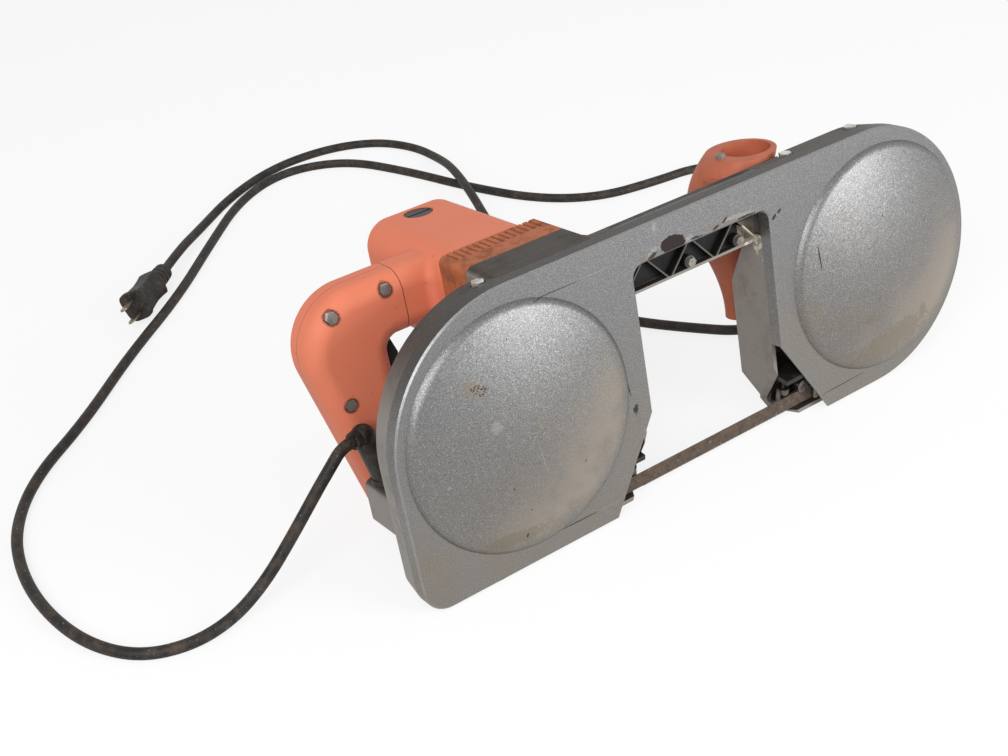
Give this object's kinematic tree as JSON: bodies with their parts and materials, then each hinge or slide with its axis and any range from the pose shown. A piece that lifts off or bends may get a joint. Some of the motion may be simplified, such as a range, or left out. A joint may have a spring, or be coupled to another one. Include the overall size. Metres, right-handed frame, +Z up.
{
  "type": "portable band saw",
  "caption": "Portable band saw with domed wheel cover, open throat, barrel motor, rear loop handle with trigger, front grip and a mains cord lying loose.",
  "frame": {"origin": "middle of the saw's footprint on the surface it rests on, cord left out", "axes": "+X from the drive wheel to the front wheel, +Y from the cover back to the motor, +Z up"},
  "size_m": [0.8004, 0.6755, 0.1995],
  "materials": {
    "silver_casting": "speckled silver paint, worn",
    "grey_casting": "grey paint, dirty",
    "orange_plastic": "moulded, matte",
    "black_plastic": "moulded",
    "black_rubber": "dirty rubber",
    "tyre_rubber": "smooth",
    "wheel_alloy": "machined",
    "bright_steel": "bright zinc",
    "shaft_steel": "ground",
    "black_steel": "blackened",
    "blade_steel": "stained band steel",
    "bronze": "dull",
    "carbon": "carbon"
  },
  "bodies": {
    "saw": {"front_cover": "silver_casting", "frame": "grey_casting", "rim_screws": "bright_steel", "gear_case": "grey_casting", "gear_plate": "grey_casting", "bearing_plate": "wheel_alloy", "drive_bearing_front": "bright_steel", "drive_bearing_rear": "bright_steel", "layshaft_bushes": "bronze", "blade": "blade_steel", "motor_housing": "orange_plastic", "stator": "shaft_steel", "motor_bearing_front": "bright_steel", "motor_bearing_rear": "bright_steel", "brushes": "carbon", "brush_caps": "black_plastic", "handle_front_half": "orange_plastic", "handle_rear_half": "orange_plastic", "handle_screws": "bright_steel", "trigger_spring": "bright_steel", "switch_body": "black_plastic", "tension_spring": "bright_steel", "rear_guide_bracket": "black_steel", "front_guide_bracket": "black_steel", "front_handle": "orange_plastic", "front_handle_screws": "bright_steel", "cord_boot": "black_rubber", "cord": "black_rubber", "plug_body": "black_rubber", "plug_prongs": "bronze"},
    "drive": {"drive_shaft": "shaft_steel", "output_gear": "shaft_steel", "drive_wheel": "wheel_alloy", "drive_tyre": "tyre_rubber", "drive_nut": "bright_steel"},
    "second": {"second_shaft": "shaft_steel", "second_gear": "shaft_steel"},
    "first": {"first_shaft": "shaft_steel", "first_gear": "shaft_steel"},
    "armature": {"armature_shaft": "shaft_steel", "armature_core": "shaft_steel", "commutator": "black_plastic", "fan": "black_plastic"},
    "carriage": {"tension_carriage": "shaft_steel", "idler_axle": "shaft_steel"},
    "idler": {"idler_wheel": "wheel_alloy", "idler_tyre": "tyre_rubber", "idler_bearing": "bright_steel"},
    "lever": {"tension_lever": "black_steel"},
    "trigger": {"trigger": "black_plastic"},
    "rear_back_roller": {"rear_guide_back_roller": "bright_steel"},
    "rear_front_roller": {"rear_guide_front_roller": "bright_steel"},
    "rear_thrust_roller": {"rear_guide_thrust_roller": "bright_steel"},
    "front_back_roller": {"front_guide_back_roller": "bright_steel"},
    "front_front_roller": {"front_guide_front_roller": "bright_steel"},
    "front_thrust_roller": {"front_guide_thrust_roller": "bright_steel"}
  },
  "joints": [
    {"name": "drive_spin", "type": "hinge", "parent": "saw", "child": "drive", "pos_m": [-0.1635, -0.07865, 0.09879], "axis": [0, 0.9848, -0.1736], "continuous": true},
    {"name": "second_spin", "type": "hinge", "parent": "saw", "child": "second", "pos_m": [-0.12964, -0.07113, 0.14147], "axis": [0, 0.9848, -0.1736], "continuous": true},
    {"name": "first_spin", "type": "hinge", "parent": "saw", "child": "first", "pos_m": [-0.10482, -0.07061, 0.14439], "axis": [0, 0.9848, -0.1736], "continuous": true},
    {"name": "armature_spin", "type": "hinge", "parent": "saw", "child": "armature", "pos_m": [-0.119, -0.06808, 0.15876], "axis": [0, 0.9848, -0.1736], "continuous": true},
    {"name": "tension_slide", "type": "slide", "parent": "saw", "child": "carriage", "axis": [1, 0, 0], "range_m": [-0.008, 0], "deforming": ["tension_spring"]},
    {"name": "idler_spin", "type": "hinge", "parent": "carriage", "child": "idler", "pos_m": [0.167, -0.07865, 0.09879], "axis": [0, 0.9848, -0.1736], "continuous": true},
    {"name": "tension_lever_turn", "type": "hinge", "parent": "saw", "child": "lever", "pos_m": [0.1989, -0.04271, 0.09245], "axis": [0, 0.9848, -0.1736], "range_deg": [0, 180]},
    {"name": "trigger_pull", "type": "slide", "parent": "saw", "child": "trigger", "axis": [-1, 0, 0], "range_m": [0, 0.005], "stiffness_N_per_m": 600, "springref_m": -0.004, "deforming": ["trigger_spring"]},
    {"name": "rear_back_roller_spin", "type": "hinge", "parent": "saw", "child": "rear_back_roller", "pos_m": [-0.0749, -0.08784, 0.01223], "axis": [0, -0.0349, 0.9994], "continuous": true},
    {"name": "rear_front_roller_spin", "type": "hinge", "parent": "saw", "child": "rear_front_roller", "pos_m": [-0.1009, -0.09654, 0.01193], "axis": [0, -0.0349, 0.9994], "continuous": true},
    {"name": "rear_thrust_roller_spin", "type": "hinge", "parent": "saw", "child": "rear_thrust_roller", "pos_m": [-0.0879, -0.09386, 0.02418], "axis": [0, 0.9994, 0.0349], "continuous": true},
    {"name": "front_back_roller_spin", "type": "hinge", "parent": "saw", "child": "front_back_roller", "pos_m": [0.073, -0.08784, 0.01223], "axis": [0, -0.0349, 0.9994], "continuous": true},
    {"name": "front_front_roller_spin", "type": "hinge", "parent": "saw", "child": "front_front_roller", "pos_m": [0.099, -0.09654, 0.01193], "axis": [0, -0.0349, 0.9994], "continuous": true},
    {"name": "front_thrust_roller_spin", "type": "hinge", "parent": "saw", "child": "front_thrust_roller", "pos_m": [0.086, -0.09386, 0.02418], "axis": [0, 0.9994, 0.0349], "continuous": true}
  ],
  "couplings": [
    {"joint": "second_spin", "follows": "drive_spin", "ratio": -4},
    {"joint": "first_spin", "follows": "drive_spin", "ratio": 12},
    {"joint": "armature_spin", "follows": "drive_spin", "ratio": -51.429},
    {"joint": "idler_spin", "follows": "drive_spin", "ratio": 1},
    {"joint": "tension_lever_turn", "follows": "tension_slide", "rad_per_m": -392.7},
    {"joint": "rear_back_roller_spin", "follows": "drive_spin", "ratio": -15.24},
    {"joint": "rear_front_roller_spin", "follows": "drive_spin", "ratio": 30.48},
    {"joint": "rear_thrust_roller_spin", "follows": "drive_spin", "ratio": 13.855},
    {"joint": "front_back_roller_spin", "follows": "drive_spin", "ratio": -15.24},
    {"joint": "front_front_roller_spin", "follows": "drive_spin", "ratio": 30.48},
    {"joint": "front_thrust_roller_spin", "follows": "drive_spin", "ratio": 13.855}
  ]
}
